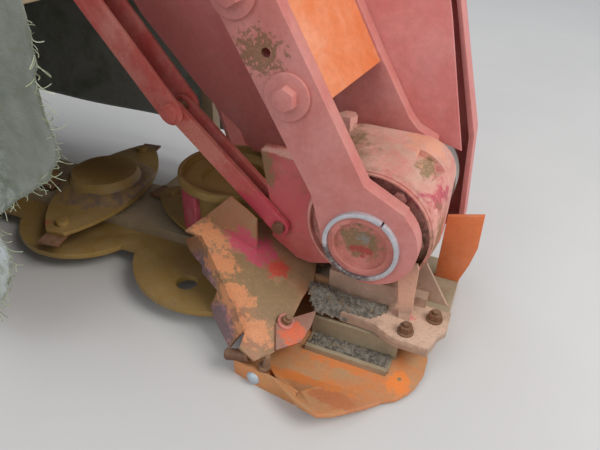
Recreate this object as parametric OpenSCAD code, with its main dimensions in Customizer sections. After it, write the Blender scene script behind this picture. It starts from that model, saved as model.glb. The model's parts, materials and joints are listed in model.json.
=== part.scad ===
// Disc mower, folded and set down on its cutter bar.
// Floor z = 0, +X towards the tractor side, bar runs to -X, -Y is the driving direction.

/* [Main sizes] */
// distance between disc axes
disc_pitch = 320; // [315:1:350]
// lean of the folded carrying frame from upright
arm_lean = 30.5; // [27:0.5:34]
// length of the carrying frame, pivot to drive shaft
arm_len = 900; // [860:5:960]
// height of the main pivot above the floor
pivot_z = 210; // [206:1:216]

/* [Discs] */
// half length of an oval disc
disc_r = 195; // [180:1:198]
// half width of an oval disc
disc_half_w = 90; // [80:1:92]
// reach of the knife tips
knife_r = 222; // [210:1:224]
// radius of the drum on the first disc
drum_r = 104; // [96:1:106]

/* [Frame] */
// thickness of the carrying frame plates
plate_t = 28; // [24:1:28]
// outer radius of the pivot bush
bush_r = 60; // [56:0.5:62]
// height of the cover frame
cover_z = 600; // [560:5:620]

/* [Hidden] */
$fn = 64;
disc_n = 5;
disc_y = 0;
disc1_x = -300;
yf = -144;
yr = 32;
bar_z0 = 32;
bar_z1 = 70;
out_x = disc1_x - (disc_n - 1) * disc_pitch;
end_x = out_x - 235;
lug_x = -155;
lug_z = 175;
eye_dx = -193;
eye_dz = 172;
link_len = sqrt(eye_dx * eye_dx + eye_dz * eye_dz);
link_ang = atan2(eye_dz, eye_dx);
pinb_x = lug_x + eye_dx;
pinb_z = lug_z + eye_dz;
strut_ang = 130;
strut_len = 600;
head_turn = 92;
gap = 0.02;
base_x0 = disc1_x + knife_r + 12;
base_x1 = 146;
foot_z = 70;
pin_r = bush_r - 7;
drum_z = bar_z1 + 21;
drum_h = 112;
sheet_at = [-120, -160, 89.9];
sheet_turn = [9.92, 23.48, 0];
tr_ax = pinb_x + strut_len * cos(strut_ang);
tr_az = pinb_z + strut_len * sin(strut_ang) - pivot_z;
tr_x = tr_ax * cos(arm_lean) + tr_az * sin(arm_lean);
tr_z = tr_az * cos(arm_lean) - tr_ax * sin(arm_lean);
home_x = -830;
home_y = 101.2533;

red = [0.72, 0.28, 0.26];
orange = [0.80, 0.36, 0.22];
tan = [0.55, 0.45, 0.28];
steel = [0.6, 0.6, 0.62];
dark = [0.3, 0.12, 0.12];

module box(x0, x1, y0, y1, z0, z1)
    translate([x0, y0, z0]) cube([x1 - x0, y1 - y0, z1 - z0]);

// row origin, under the middle of the whole machine
module home() translate([-home_x, -home_y, 0]) children();

// plate in the XZ plane from y0 to y1
module slab(y0, y1)
    translate([0, y1, 0]) rotate([90, 0, 0]) linear_extrude(y1 - y0) children();

module rod_y(x, z, r, y0, y1)
    translate([x, y0, z]) rotate([-90, 0, 0]) cylinder(r = r, h = y1 - y0);

module rod_x(y, z, r, x0, x1)
    translate([x0, y, z]) rotate([0, 90, 0]) cylinder(r = r, h = x1 - x0);

module on_arm()
    translate([0, 0, pivot_z]) rotate([0, -arm_lean, 0]) children();

module on_head()
    on_arm() translate([0, 0, arm_len]) rotate([0, arm_lean - head_turn, 0]) children();

module at_disc(i)
    translate([disc1_x - i * disc_pitch, disc_y, 0]) children();

// cutter bar

module bar_bed() color(tan) home() {
    box(end_x + 40, base_x1, disc_y - 72, disc_y + 72, bar_z0, bar_z1);
}

module bar_skids() color(tan) home()
    for (i = [0 : disc_n - 1]) at_disc(i) {
        box(-85, 85, -110, 95, 14, bar_z0);
        box(-85, 85, -60, 95, 0, 14);
    }

module stone_guards() color(tan) home()
    for (i = [0 : disc_n - 1]) at_disc(i)
        difference() {
            translate([0, 0, bar_z0 + 2]) {
                intersection() {
                    translate([0, -65, 0]) cylinder(r = i == 0 ? 167 : 141, h = 12);
                    box(-200, 200, -240, -72, 0, 12);
                }
                box(-disc_pitch / 2 - 1, disc_pitch / 2 + 1, -125, -72.02, 0, 12);
            }
            translate([-10, -168, 0]) cylinder(r = 20, h = 80);
        }

module disc_hubs() color(steel) home()
    for (i = [0 : disc_n - 1]) at_disc(i)
        translate([0, 0, bar_z1]) {
            cylinder(r = 52, h = 8);
            cylinder(r = 18, h = 19);
        }

// outline of an oval disc, half length rl and half width rw
module oval(rl, rw)
    intersection() {
        circle(r = rl);
        translate([300 - rw, 0]) circle(r = 300);
        translate([rw - 300, 0]) circle(r = 300);
    }

module disc_body(turn, hat) {
    z0 = bar_z1 + 13;
    rotate([0, 0, turn]) {
        translate([0, 0, z0]) linear_extrude(8) oval(disc_r, disc_half_w);
        for (s = [1, -1]) translate([0, s * (disc_r - 28), z0 + 7]) cylinder(r = 12, h = 11);
    }
    if (hat) {
        intersection() {
            translate([0, 0, z0 + 7]) cylinder(r1 = 112, r2 = 84, h = 16);
            rotate([0, 0, turn]) translate([0, 0, z0]) linear_extrude(40)
                oval(disc_r, disc_half_w);
        }
        translate([0, 0, z0 + 22]) cylinder(r1 = 76, r2 = 68, h = 20);
    }
    translate([0, 0, z0 - 4]) cylinder(r = 46, h = 5);
}

module spindle_bore() cylinder(r = 18.08, h = bar_z1 + 19.5);

module knife_set(turn) {
    z0 = bar_z1 + 13;
    rotate([0, 0, turn]) for (s = [1, -1])
        translate([-22, s > 0 ? disc_r - 50 : -knife_r, z0 - 5])
            cube([44, knife_r - disc_r + 50, 5]);
}

module disc_1() color(tan) home() at_disc(0) difference() { disc_body(80, false); spindle_bore(); }
module disc_2() color(tan) home() at_disc(1) difference() { disc_body(10, true); spindle_bore(); }
module disc_3() color(tan) home() at_disc(2) difference() { disc_body(80, true); spindle_bore(); }
module disc_4() color(tan) home() at_disc(3) difference() { disc_body(10, true); spindle_bore(); }
module disc_5() color(tan) home() at_disc(4) difference() { disc_body(80, false); spindle_bore(); }
module knives_1() color(steel) home() at_disc(0) knife_set(80);
module knives_2() color(steel) home() at_disc(1) knife_set(10);
module knives_3() color(steel) home() at_disc(2) knife_set(80);
module knives_4() color(steel) home() at_disc(3) knife_set(10);
module knives_5() color(steel) home() at_disc(4) knife_set(80);

module drum_1() color(tan) home() at_disc(0)
    translate([0, 0, drum_z]) difference() {
        union() {
            cylinder(r = drum_r - 12, h = drum_h);
            translate([0, 0, drum_h - 16]) cylinder(r = drum_r, h = 16);
        }
        translate([0, 0, drum_h - 14]) cylinder(r = drum_r - 10, h = 30);
        translate([0, 0, drum_h - 26]) cylinder(r = 60, h = 30);
    }

module drum_vanes() color(red) home() at_disc(0)
    for (a = [62, 242]) rotate([0, 0, a]) difference() {
        box(drum_r - 18, drum_r - 4, -24, 24, bar_z1 + 27, drum_z + drum_h - 18);
        translate([0, 0, drum_z]) cylinder(r = drum_r - 12 + gap, h = drum_h);
    }

module cone_5() color(tan) home() at_disc(4)
    translate([0, 0, bar_z1 + 21]) cylinder(r1 = 78, r2 = 58, h = 76);

// inner end

// sheet through the points of one facet, 5 mm thick
module facet(pts)
    hull() for (p = pts) translate([p[0] - 2, p[1] - 1, p[2] - 5]) cube([4, 3, 5]);

module inner_shoe() color(orange) home() {
    translate([0, 0, 7]) linear_extrude(5)
        polygon([[-150, 97], [-154, -240], [-149, -282], [-98, -292], [-30, -298],
            [-14, -280], [0, -251], [82, -251], [105, -236], [118, -219], [127, -200],
            [134, -168], [133, -138], [128, -112], [134, -70], [base_x1, -40],
            [base_x1, 97]]);
    linear_extrude(8)
        polygon([[-150, 97], [-154, -240], [-149, -282], [-98, -292], [-30, -298],
            [0, -251], [60, -236], [90, -222], [112, -190], [120, -160], [118, -112],
            [126, -60], [126, 97]]);
    // upright wall at the left
    facet([[-151, -240, 12], [-147, -282, 12], [-147, -284, 34], [-151, -240, 16]]);
    // front wall, panel by panel
    facet([[-147, -282, 5], [-98, -292, 5], [-147, -284, 34], [-117, -285, 34], [-98, -290, 34]]);
    facet([[-98, -292, 5], [-30, -300, 5], [-98, -290, 34], [-75, -293, 34], [-30, -302, 34]]);
    facet([[-75, -293, 34], [-30, -302, 30], [-27, -319, 38]]);
    facet([[-30, -301, 5], [-28, -300, 34], [-27, -319, 38], [10, -333, 42], [0, -252, 12]]);
    // turned up front
    facet([[-105, -251, 12], [82, -251, 12], [64, -277, 21], [46, -297, 29], [30, -319, 37],
        [10, -333, 42], [-27, -317, 36], [-60, -294, 27]]);
    box(-150, base_x1, -60, disc_y + 72, 12, bar_z0);
}

module on_sheet() translate(sheet_at) rotate(sheet_turn) children();

module deflector() color(red) home() {
    on_sheet() translate([0, 0, -5]) linear_extrude(5)
        polygon([[-195, -10], [-188, 34], [-167, 52], [-136, 66], [-110, 88], [-96, 108],
            [13, 111], [35, 50], [34, 8], [44, -100], [38, -115], [24, -136], [-6, -132],
            [-12, -106], [-168, 0]]);
    slab(-124, -119) polygon([[-292, 167], [-237, 223], [-205, 204], [-188, 191],
        [-188, 126], [-203, 128]]);
    translate([-274, -158, 157]) rotate([54.94, -61.5, 0]) translate([0, 0, -4]) linear_extrude(4)
        polygon([[-2, 4], [2, -186], [-60, -186], [-68, -128], [-64, -105], [-34, -99],
            [-26, -96], [-48, -46], [-39, -38], [-57, 6], [-58, 34]]);
    box(-100, -60.02, -98, -90, 74, 87);
}

module corner_bracket() color(orange) home() on_sheet()
    linear_extrude(5) polygon([[20, -64], [31, -46], [65, 1], [71, -32], [70, -66], [43, -103]]);

module ledge_rails() color(tan) home() {
    box(-62, 78, -199, -191, 12.02, 22);
    box(-66, 84, -157, -150, 12.02, 50);
    box(-64, 80, -192, -156, 12.02, 15);
}

// housing of the gearbox, grown by g
module casting_body(g) {
    hull() {
        rod_y(-3, pivot_z, 104 + g, -98 - g, -96);
        for (p = [[43, 275], [-50, 275], [43, 170], [-50, 170]]) {
            rod_y(p[0], p[1], 60 + g, 0, 20);
            rod_y(p[0], p[1], 53 + g, 20, 27 + g);
        }
    }
    rod_y(-3, pivot_z, 101 + g, -102 - g, -97);
}

module gearbox_base() color(tan) home()
    difference() {
        union() {
            translate([0, 0, foot_z - 18]) linear_extrude(18)
                polygon([[-20, -72.02], [-20, -150], [40, -152], [54, -160], [76, -170],
                    [131, -170], [137, -150], [140, -132], [151, -114], [150, -72.02]]);
            box(-60, 60, -100, 20, foot_z + gap, 112);
            box(-60, 60, -100, -72.02, foot_z - 18, foot_z + 2);
            slab(-110, -103) polygon([[59, 135], [57, 150], [68, 170], [84, 176], [88, 168],
                [88.5, 135]]);
            hull() {
                slab(-110, -103) polygon([[62, 130], [59, 136], [88.5, 136], [88.5, 130]]);
                box(72, 90, -122, -103, foot_z - 1, foot_z + 1);
            }
            box(84, 107, -80, -72.02, 60, 89);
            box(84, 107, -73, -52, foot_z + gap, 89);
            slab(-58, -52) polygon([[59, foot_z + gap], [59, 112], [76, 126], [86, 138],
                [93, 146], [139, foot_z + 1], [146, foot_z + gap]]);
        }
        casting_body(gap);
    }

module gearbox() color(red) home()
    difference() {
        union() {
            casting_body(0);
            translate([-82, 5, 317]) cylinder(r = 16, h = 35, $fn = 6);
        }
        rod_y(-3, pivot_z, 98, -103, -84);
        slab(-62, -22) polygon([[46, 318], [71, 311], [76, 297], [92, 300], [80, 336], [46, 336]]);
    }

module gearbox_flange() color(red) home() {
    difference() {
        rod_y(-3, pivot_z, 97.9, -90, -84.02);
        rod_y(0, pivot_z, pin_r + gap, -91, -83);
    }
    for (a = [-2 : 60 : 350])
        translate([80 * cos(a) - 3, -90, pivot_z + 80 * sin(a)]) rotate([90, 0, 0])
            cylinder(r = 11.5, h = 9, $fn = 6);
}

module pivot_pins() color(red) home() {
    difference() {
        rod_y(0, pivot_z, pin_r, yf - 4, -84.02);
        rod_y(0, pivot_z, pin_r - 11, yf - 5, yf + 4);
    }
    rod_y(0, pivot_z, pin_r, 27.02, yr + plate_t + 4);
}

module lift_lug() color(red) home() difference() {
    slab(-92, -76) difference() {
        polygon([[-194, 306], [-189, 312], [-90, 312], [-60, 300], [-60, 120], [-100, 108],
            [-126, 112], [-172, 144], [-178, 217]]);
        translate([lug_x, lug_z]) circle(r = 11.3);
    }
    casting_body(gap);
}

module side_bracket() color(orange) home()
    slab(15, 23) polygon([[104.5, foot_z + gap], [104.5, 200], [163, 216], [165, 150],
        [158, 111], [146, foot_z + gap]]);

module outer_shoe() color(orange) home() {
    box(end_x - 10, end_x + 40, -180, 180, 0, 40);
    box(end_x - 10, end_x - 4, -120, 147, 40, 130);
}

module swath_board() color(orange) home()
    translate([end_x - 10, 150, 40]) rotate([0, 0, -18]) cube([6, 480, 190]);

module cover_frame() color(red) home() {
    for (x = [end_x + 60, disc1_x - 370])
        box(x, x + 30, -385, 330, cover_z - 30, cover_z);
    for (x = [end_x + 60, disc1_x - 230]) {
        box(x, x + 30, disc_y + 72.02, 290, 40, 66);
        box(x, x + 30, 260, 290, 40, cover_z);
    }
    box(disc1_x - 341, disc1_x - 200, 260, 290, cover_z - 30, cover_z);
    box(end_x + 20, disc1_x + 6, -400, -370, cover_z - 30, cover_z);
    box(end_x + 20, disc1_x - 200, 300, 330, cover_z - 30, cover_z);
}

module curtain() color([0.7, 0.72, 0.66]) home() {
    box(end_x + 16, disc1_x - 330, -404, 334, cover_z, cover_z + 4);
    slab(-404, -400) polygon([[end_x + 16, cover_z + 4], [disc1_x + 12, cover_z + 4],
        [disc1_x + 23, 425], [disc1_x, 385], [disc1_x - 118, 300], [disc1_x - 102, 240],
        [disc1_x - 218, 60], [end_x + 16, 60]]);
    slab(330, 334) polygon([[end_x + 16, cover_z + 4], [disc1_x - 200, cover_z + 4],
        [disc1_x - 200, 110], [end_x + 180, 110], [end_x + 180, 240], [end_x + 16, 240]]);
    box(end_x + 16, end_x + 20, -404, 334, 240, cover_z + 4);
}

// carrying frame

// carrying frame plate, rw is its width to the right of the pivot
module arm_plate(y0, rw, foot) difference() {
    union() {
        rod_y(12.7, 1.8, 76, y0, y0 + plate_t);
        slab(y0, y0 + plate_t) polygon(concat([[-58, 0], [-60, 20], [-38, 102], [-38, arm_len],
            [rw, arm_len]], foot));
        rod_y(4.75, arm_len, 80, y0, y0 + plate_t);
    }
    rod_y(0, 0, bush_r, y0 - 1, y0 + plate_t + 1);
    rod_y(0, arm_len, 60, y0 - 1, y0 + plate_t + 1);
}

module front_arm() color(red) home() on_arm() difference() {
    arm_plate(yf, 47.5, [[47.5, 90], [86, 30], [80, 0]]);
    rod_y(0, 312, 7, yf - 1, yf + plate_t + 1);
}

module rear_arm() color(red) home() on_arm()
    arm_plate(yr, 80, [[80, 240], [84, 118], [90, 94], [110, 66], [80, 0]]);

module spacer_plate() color(orange) home() on_arm()
    translate([0, 0, 218]) linear_extrude(arm_len - 300) polygon([[37.5, yf + plate_t],
        [47.5, yf + plate_t], [76, yr], [66, yr]]);

module pivot_bush() color(steel) home() on_arm()
    for (y = [[yf - 8, yf + plate_t], [yr, yr + plate_t]]) difference() {
        rod_y(0, 0, bush_r, y[0], y[1]);
        rod_y(0, 0, pin_r + 0.08, y[0] - 1, y[1] + 1);
        rotate([0, -29, 0]) box(bush_r - 10, bush_r + 2, y[0] - 1, y[1] + 1, -1.5, 1.5);
    }

module arm_washers() color(red) home() on_arm()
    for (p = [[1, 248], [-11.6 + 8, 398]]) {
        rod_y(p[0], p[1], 34, yf - 6, yf);
        translate([p[0], yf - 6, p[1]]) rotate([90, 0, 0]) cylinder(r = 18, h = 14, $fn = 6);
    }

module head_tube() color(red) home() on_arm() translate([0, 0, arm_len])
    difference() {
        rod_y(0, 0, 60, -262, yr + plate_t + 8);
        rod_y(0, 0, 36, -263, yr + plate_t + 9);
    }

module guard_outline()
    polygon([[51, 108], [133, 27], [192, 232], [245, 450], [262, 620], [275, arm_len],
        [200, arm_len + 200], [60, arm_len + 275], [-100, arm_len + 275], [-240, arm_len + 200],
        [-300, arm_len], [-330, 620], [-324, 470], [-283, 288], [-264, 236], [-250, 200],
        [-246, 152], [-160, 102], [-100, 102]]);

module cover_outline()
    polygon([[59, -148], [138, 17], [192, 232], [245, 450], [262, 620], [275, arm_len],
        [200, arm_len + 200], [60, arm_len + 275], [-100, arm_len + 275], [-240, arm_len + 200],
        [-300, arm_len], [-330, 620], [-324, 470], [-345, 240], [-366, 144], [-330, 88],
        [-250, 41], [-200, 17], [-80, -130]]);

module guard_front() color(red) home() on_arm() difference() {
    slab(60, 66) guard_outline();
    translate([0, 0, arm_len]) rod_y(0, 0, 60, 59, 80);
}

module guard_cover() color(red) home() on_arm() {
    for (p = [[120, 330], [-230, 420], [215, 640], [-250, 660], [0, arm_len + 245]])
        rod_y(p[0], p[1], 10, 66, 197);
    slab(196, 200) cover_outline();
    difference() {
        slab(150, 196) cover_outline();
        slab(149, 196) polygon([[52, -140], [128, 17], [184, 232],
            [236, 450], [254, 620], [267, arm_len], [194, arm_len + 193], [56, arm_len + 267],
            [-97, arm_len + 267], [-233, arm_len + 194], [-292, arm_len], [-322, 620],
            [-316, 470], [-337, 240], [-356, 145], [-325, 95], [-246, 49], [-196, 26],
            [-76, -121]]);
    }
}

module lift_bracket() color(red) home() on_arm()
    for (y = [-132, -46]) slab(y, y + 14) difference() {
        polygon([[-38, arm_len - 140], [tr_x + 29, tr_z - 26], [tr_x - 21, tr_z - 16],
            [tr_x - 26, tr_z + 19], [tr_x, tr_z + 39], [-38, arm_len + 60]]);
        translate([tr_x, tr_z]) circle(r = 15);
        translate(y < -100 ? [4.75, arm_len] : [0, arm_len]) circle(r = y < -100 ? 80 : 60);
    }

module low_pulley() color(steel) home() {
    rod_y(0, pivot_z, 100, 100, 140);
    rod_y(0, pivot_z, 20, yr + plate_t + 4.5, 145);
}

module top_pulley() color(steel) home() on_arm() translate([0, 0, arm_len])
    difference() {
        rod_y(0, 0, 215, 100, 140);
        rod_y(0, 0, 17.45, 99, 141);
    }

module input_shaft() color(steel) home() on_arm() translate([0, 0, arm_len]) {
    rod_y(0, 0, 17.45, -345, 150);
    rod_y(0, 0, 35.92, -262, -240);
    rod_y(0, 0, 35.92, 46, 68);
}

// headstock

module headstock() color(red) home() on_head() {
    difference() {
        rod_y(0, 0, 84, -250, -165);
        rod_y(0, 0, 60.3, -251, -164);
    }
    box(-326, 326, -240, -170, -130, -70);
    for (s = [1, -1]) box(s * 333.5 - 8, s * 333.5 + 8, -330, -170, -160, -60);
}

module mast() color(red) home() on_head()
    for (s = [1, -1]) {
        slab(-236, -222) polygon([[s * 200, -70], [s * 260, -70], [s * 60, 350], [s * 20, 350]]);
        difference() {
            box(s > 0 ? 26 : -40, s > 0 ? 40 : -26, -300, -200, 296, 352);
            rod_x(-285, 330, 9.65, -60, 60);
        }
    }

module hitch_pins() color(steel) home() on_head()
    for (s = [1, -1]) rod_x(-300, -130, 11, s > 0 ? 341.5 : -420, s > 0 ? 420 : -341.5);

// lift linkage

module lift_links() color(red) home()
    for (y = [-104, -74]) slab(y, y + 10) translate([lug_x, lug_z]) rotate([0, 0, link_ang])
        difference() {
            union() {
                circle(r = 17);
                translate([0, -16]) square([link_len, 32]);
                translate([link_len, 0]) circle(r = 17);
            }
            circle(r = 11);
            translate([link_len, 0]) circle(r = 11);
        }

module link_pins() color(steel) home() {
    rod_y(lug_x, lug_z, 11, -112, -60);
    rod_y(pinb_x, pinb_z, 11, -104, -64);
}

module lift_channel() color(red) home()
    translate([pinb_x, 0, pinb_z]) rotate([0, -strut_ang, 0]) difference() {
        union() {
            for (y = [-111, -63]) slab(y, y + 6) {
                circle(r = 22);
                translate([0, -22]) square([250, 44]);
            }
            box(40, 250, -111, -57, 17, 22);
            rod_y(0, 0, 15, -119, -110);
            rod_y(0, 0, 15, -58, -52);
        }
        rod_y(235, 0, 9, -120, -50);
    }

module lift_rod() color(steel) home()
    translate([pinb_x, -84, pinb_z]) rotate([0, -strut_ang, 0]) {
        translate([215, 0, 0]) rotate([0, 90, 0]) cylinder(r = 14, h = strut_len - 251);
        rod_y(235, 0, 9, -31, 31);
    }

module lift_barrel() color(red) home()
    translate([pinb_x, -84, pinb_z]) rotate([0, -strut_ang, 0]) {
        difference() {
            translate([260, 0, 0]) rotate([0, 90, 0]) cylinder(r = 26, h = strut_len - 260);
            translate([250, 0, 0]) rotate([0, 90, 0]) cylinder(r = 14.08, h = strut_len - 280);
        }
        rod_y(strut_len, 0, 24, -20, 20);
        rod_y(strut_len, 0, 14.7, -50, 54);
    }

bar_bed();
bar_skids();
stone_guards();
disc_hubs();
disc_1();
drum_1();
drum_vanes();
knives_1();
disc_2();
knives_2();
disc_3();
knives_3();
disc_4();
knives_4();
disc_5();
knives_5();
cone_5();
inner_shoe();
deflector();
corner_bracket();
ledge_rails();
gearbox_base();
gearbox();
gearbox_flange();
pivot_pins();
lift_lug();
side_bracket();
outer_shoe();
swath_board();
cover_frame();
curtain();
front_arm();
rear_arm();
spacer_plate();
pivot_bush();
arm_washers();
head_tube();
guard_front();
guard_cover();
lift_bracket();
low_pulley();
top_pulley();
input_shaft();
headstock();
mast();
hitch_pins();
lift_links();
link_pins();
lift_channel();
lift_rod();
lift_barrel();
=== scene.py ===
"""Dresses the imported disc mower: worn paint, dirt, gravel, bolts, cloth curtain, stage and camera."""

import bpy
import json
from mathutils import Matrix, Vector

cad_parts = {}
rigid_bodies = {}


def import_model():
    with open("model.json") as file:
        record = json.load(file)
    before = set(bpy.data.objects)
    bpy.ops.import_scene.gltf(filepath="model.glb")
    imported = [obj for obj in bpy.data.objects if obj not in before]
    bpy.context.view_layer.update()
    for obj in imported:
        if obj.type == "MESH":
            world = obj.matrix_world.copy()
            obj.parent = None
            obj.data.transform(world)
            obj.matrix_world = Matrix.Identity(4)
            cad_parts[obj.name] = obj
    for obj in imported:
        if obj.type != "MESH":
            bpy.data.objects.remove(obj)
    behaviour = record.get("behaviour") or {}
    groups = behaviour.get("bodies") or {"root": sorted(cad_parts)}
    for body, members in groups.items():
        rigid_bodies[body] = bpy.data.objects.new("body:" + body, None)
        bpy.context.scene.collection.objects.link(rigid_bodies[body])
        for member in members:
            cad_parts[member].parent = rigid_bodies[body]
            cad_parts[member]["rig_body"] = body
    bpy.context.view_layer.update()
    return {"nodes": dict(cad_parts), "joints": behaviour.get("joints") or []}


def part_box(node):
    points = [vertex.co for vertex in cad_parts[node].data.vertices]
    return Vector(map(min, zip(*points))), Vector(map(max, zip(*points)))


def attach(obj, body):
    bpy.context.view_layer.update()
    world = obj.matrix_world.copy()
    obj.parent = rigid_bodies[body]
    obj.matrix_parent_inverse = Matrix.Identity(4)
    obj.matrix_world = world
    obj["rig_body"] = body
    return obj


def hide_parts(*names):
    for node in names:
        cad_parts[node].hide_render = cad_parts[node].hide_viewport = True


bl_info = {
    "name": "Disc Mower Dressing",
    "version": (1, 0, 0),
    "blender": (4, 5, 0),
    "location": "View3D > Sidebar > Mower",
    "description": "Finishes and small pieces for a folded disc mower",
    "category": "Object",
}

import json
import math
import random

import bmesh
import bpy
from bpy.props import FloatProperty, FloatVectorProperty, IntProperty, PointerProperty
from mathutils import Matrix, Vector, noise

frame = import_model()
NODES = frame["nodes"]
PIVOT = next(Vector(j["pos_m"]) for j in frame["joints"] if j["name"] == "fold")
LEAN = math.radians(30.5)
MM = 0.001
# place of the fold joint, in the millimetres that at() takes
PIVOT_Y, PIVOT_Z = -42, 210
# camera: place, the angles of its turn, tilt and roll, and its focal length in picture widths
CAMERA_AT = (162.4, -794.5, 692.4)
CAMERA_ANGLES = (22, 34, 2)
SENSOR_WIDTH, FOCAL_SHARE = 36, 0.9


def at(x, y, z):
    """Point in metres from millimetres measured from the floor under the main pivot."""
    return PIVOT + Vector((x, y - PIVOT_Y, z - PIVOT_Z)) * MM


def on_frame(x, y, z):
    """Point given along the leaning carrying frame, z from the pivot up the plates."""
    c, s = math.cos(LEAN), math.sin(LEAN)
    return at(x * c - z * s, y, PIVOT_Z + x * s + z * c)


def body_of(node):
    return NODES[node]["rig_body"]


# Sizes and colours


def length(name, text, value):
    return FloatProperty(name=name, description=text, default=value, min=0, unit="LENGTH")


def colour(name, text, value):
    return FloatVectorProperty(name=name, description=text, default=value, size=3,
                               min=0, max=1, subtype="COLOR")


class MowerSizes(bpy.types.PropertyGroup):
    edge_round: length("Edge rounding", "Rounding of cut plate edges", 0.0012)
    bolt_width: length("Bolt width", "Across the flats of the foot bolts", 0.019)
    stone: length("Stone size", "Typical size of a gravel stone", 0.0042)
    thread_length: length("Thread length", "Length of a frayed curtain thread", 0.022)
    wave: length("Curtain wave", "Depth of the waves in the hanging cloth", 0.007)
    seed: IntProperty(name="Seed", description="Seed of the scattered pieces", default=7)


class MowerColours(bpy.types.PropertyGroup):
    red: colour("Red paint", "Faded red of the frame", (0.47, 0.125, 0.105))
    orange: colour("Orange paint", "Orange of shoe and spacer", (0.66, 0.17, 0.05))
    soil: colour("Dry soil", "Olive brown soil crust", (0.20, 0.145, 0.055))
    rust: colour("Rust", "Brown rust", (0.15, 0.06, 0.028))
    bare: colour("Bare steel", "Dull bare steel", (0.42, 0.40, 0.38))
    cloth: colour("Curtain", "Grey green cloth", (0.33, 0.35, 0.27))


class StageSettings(bpy.types.PropertyGroup):
    floor: colour("Floor", "Pale floor", (0.56, 0.56, 0.55))
    lamp: FloatProperty(name="Lamp", description="Strength of the main lamp", default=1.0, min=0)


# Shader helpers


class Shade:
    """Short way to place and link shader nodes in one tree."""

    def __init__(self, tree):
        self.tree = tree

    def node(self, kind, inputs=None, **settings):
        made = self.tree.nodes.new(kind)
        for key, value in settings.items():
            setattr(made, key, value)
        for key, value in (inputs or {}).items():
            self.put(made.inputs[key], value)
        return made

    def put(self, socket, value):
        if hasattr(value, "links"):
            self.tree.links.new(value, socket)
        elif value is not None:
            if hasattr(socket, "default_value"):
                size = len(socket.default_value) if hasattr(socket.default_value, "__len__") else 0
                if size == 4 and len(value) == 3:
                    value = (*value, 1)
                socket.default_value = value

    def math(self, operation, a, b=None, clamp=False):
        return self.node("ShaderNodeMath", {0: a, 1: b}, operation=operation,
                         use_clamp=clamp).outputs[0]

    def plus(self, a, b, clamp=False):
        return self.math("ADD", a, b, clamp)

    def minus(self, a, b):
        return self.math("SUBTRACT", a, b)

    def times(self, a, b):
        return self.math("MULTIPLY", a, b)

    def vector(self, operation, a, b=None, scale=None):
        made = self.node("ShaderNodeVectorMath", operation=operation)
        self.put(made.inputs[0], a)
        self.put(made.inputs[1], b)
        if scale is not None:
            self.put(made.inputs["Scale"], scale)
        return made.outputs["Value" if operation in ("DOT_PRODUCT", "LENGTH") else 0]

    def noise(self, coords, scale, detail=4.0, rough=0.55, twist=0.0):
        return self.node("ShaderNodeTexNoise", {
            "Vector": coords, "Scale": scale, "Detail": detail, "Roughness": rough,
            "Distortion": twist}).outputs["Fac"]

    def step(self, value, low, high):
        return self.node("ShaderNodeMapRange", {"Value": value, "From Min": low, "From Max": high},
                         interpolation_type="SMOOTHSTEP").outputs[0]

    def mix(self, factor, a, b, blend="MIX"):
        return self.node("ShaderNodeMix", {0: factor, 6: a, 7: b}, data_type="RGBA",
                         blend_type=blend).outputs[2]

    def facing(self):
        """Rotation that turns Z along each point's own direction."""
        own = self.node("GeometryNodeInputNamedAttribute", {"Name": "facing"},
                        data_type="FLOAT_VECTOR")
        return self.node("FunctionNodeAlignRotationToVector", {"Vector": own.outputs["Attribute"]},
                         axis="Z").outputs[0]

    def realized(self, instances):
        return self.node("GeometryNodeRealizeInstances", {0: instances.outputs[0]}).outputs[0]

    def coated(self, geometry, material):
        return self.node("GeometryNodeSetMaterial", {
            "Geometry": geometry, "Material": material}).outputs[0]

    def surfaced(self, tint, roughness, height, strength, depth, **other):
        """Ends a material in a Principled surface with a bump on it."""
        rise = self.node("ShaderNodeBump", {
            "Strength": strength, "Distance": depth, "Height": height})
        surface = self.node("ShaderNodeBsdfPrincipled", {
            "Base Color": tint, "Roughness": roughness, "Normal": rise.outputs[0], **other})
        self.node("ShaderNodeOutputMaterial", {0: surface.outputs[0]})

    def place(self, group, **values):
        made = self.node("ShaderNodeGroup", node_tree=group)
        for key, value in values.items():
            self.put(made.inputs[key.replace("_", " ")], value)
        return made


def new_group(name, inputs, outputs):
    tree = bpy.data.node_groups.new(name, "ShaderNodeTree")
    for label, kind, value in inputs:
        socket = tree.interface.new_socket(label, in_out="INPUT", socket_type="NodeSocket" + kind)
        if value is not None:
            socket.default_value = (*value, 1) if kind == "Color" and len(value) == 3 else value
    for label, kind in outputs:
        tree.interface.new_socket(label, in_out="OUTPUT", socket_type="NodeSocket" + kind)
    return tree, tree.nodes.new("NodeGroupInput").outputs, tree.nodes.new("NodeGroupOutput").inputs


def patch_group():
    """Ragged spot round a centre, stretched by a size for each axis."""
    tree, given, out = new_group("Ragged patch", [
        ("Centre", "Vector", (0, 0, 0)), ("Size", "Vector", (0.05, 0.05, 0.05)),
        ("Ragged", "Float", 0.5), ("Grain", "Float", 60.0)], [("Mask", "Float")])
    s = Shade(tree)
    coords = s.node("ShaderNodeTexCoord").outputs["Object"]
    away = s.vector("DIVIDE", s.vector("SUBTRACT", coords, given["Centre"]), given["Size"])
    reach = s.vector("LENGTH", away)
    broken = s.minus(s.noise(coords, given["Grain"], 5, 0.6), 0.5)
    torn = s.plus(reach, s.times(broken, s.times(given["Ragged"], 3)))
    speckle = s.step(s.noise(coords, s.times(given["Grain"], 3.5), 4, 0.7), 0.34, 0.52)
    cover = s.plus(0.42, s.times(speckle, 0.5))
    s.put(out["Mask"], s.times(cover, s.minus(1, s.step(torn, 0.62, 1.12))))
    return tree


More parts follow.
